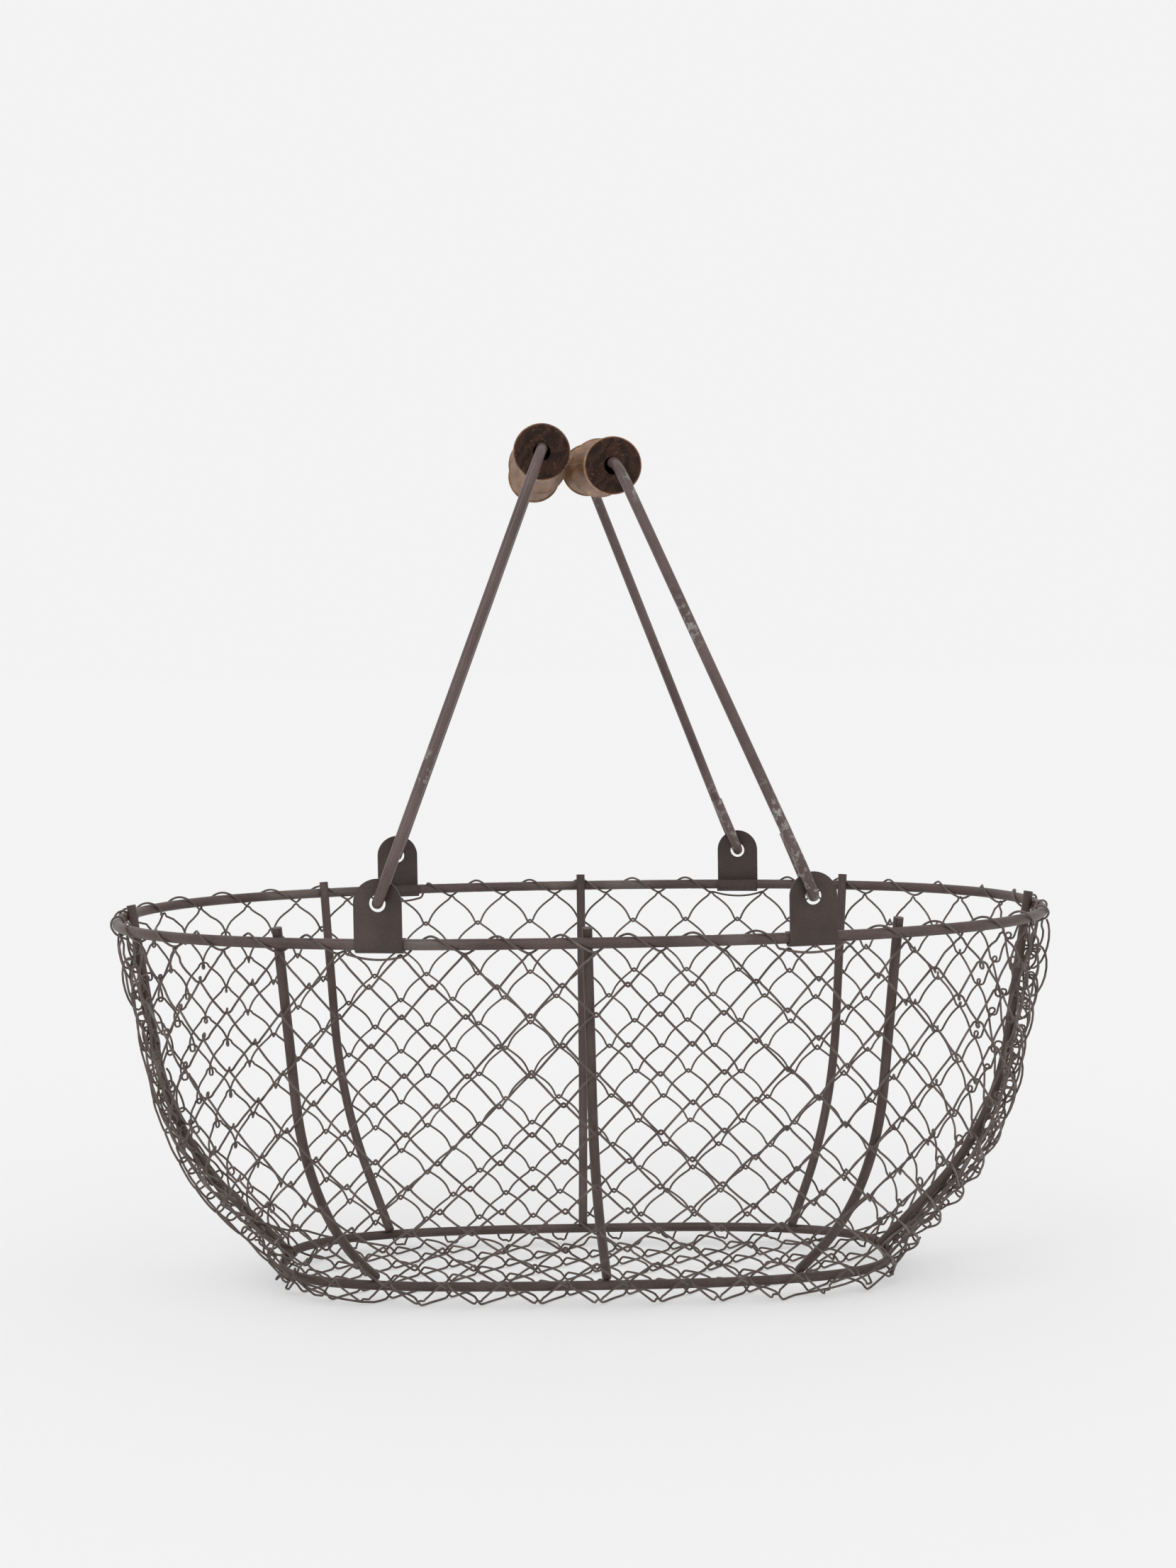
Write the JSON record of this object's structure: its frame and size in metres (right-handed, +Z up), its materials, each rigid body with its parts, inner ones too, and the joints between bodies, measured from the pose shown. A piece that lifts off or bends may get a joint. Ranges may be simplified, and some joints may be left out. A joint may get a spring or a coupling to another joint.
{
  "type": "wire produce basket",
  "caption": "Oval flared basket of woven wire on a welded rod frame, with swinging wire bails and turned wooden grips.",
  "frame": {"origin": "middle of the surface the basket stands on", "axes": "+X along the basket's length, +Y towards its back, +Z up"},
  "size_m": [0.4224, 0.248, 0.3829],
  "materials": {
    "coated_steel": "satin brown-grey coating, worn shiny at the hooks and bends",
    "woven_wire": "satin brown-grey coating on thin woven wire",
    "turned_wood": "aged turned wood, darker end grain"
  },
  "bodies": {
    "basket": {"rim_ring": "coated_steel", "base_ring": "coated_steel", "rib_front_left": "coated_steel", "rib_front_centre": "coated_steel", "rib_front_right": "coated_steel", "rib_back_left": "coated_steel", "rib_back_centre": "coated_steel", "rib_back_right": "coated_steel", "rib_left_end": "coated_steel", "rib_right_end": "coated_steel", "mesh_front": "woven_wire", "mesh_back": "woven_wire", "mesh_left_end": "woven_wire", "mesh_right_end": "woven_wire", "mesh_base": "woven_wire", "lacing_front": "woven_wire", "lacing_back": "woven_wire", "tab_front_left": "coated_steel", "tab_front_right": "coated_steel", "tab_back_left": "coated_steel", "tab_back_right": "coated_steel"},
    "bail_left": {"bail_left": "coated_steel"},
    "bail_right": {"bail_right": "coated_steel"},
    "grip_left": {"grip_left": "turned_wood"},
    "grip_right": {"grip_right": "turned_wood"}
  },
  "joints": [
    {"name": "bail_left_swing", "type": "hinge", "parent": "basket", "child": "bail_left", "pos_m": [-0.08687, 0, 0.184], "axis": [0.0429, -0.9991, 0], "range_deg": [0, 132]},
    {"name": "bail_right_swing", "type": "hinge", "parent": "basket", "child": "bail_right", "pos_m": [0.08716, 0, 0.184], "axis": [-0.0594, 0.9982, 0], "range_deg": [0, 132]},
    {"name": "grip_left_spin", "type": "hinge", "parent": "bail_left", "child": "grip_left", "pos_m": [-0.01618, 0.00304, 0.36906], "axis": [-0.047, 0.9988, -0.0107], "continuous": true},
    {"name": "grip_right_spin", "type": "hinge", "parent": "bail_right", "child": "grip_right", "pos_m": [0.01166, -0.00449, 0.36676], "axis": [-0.0878, 0.9937, 0.0696], "continuous": true}
  ]
}
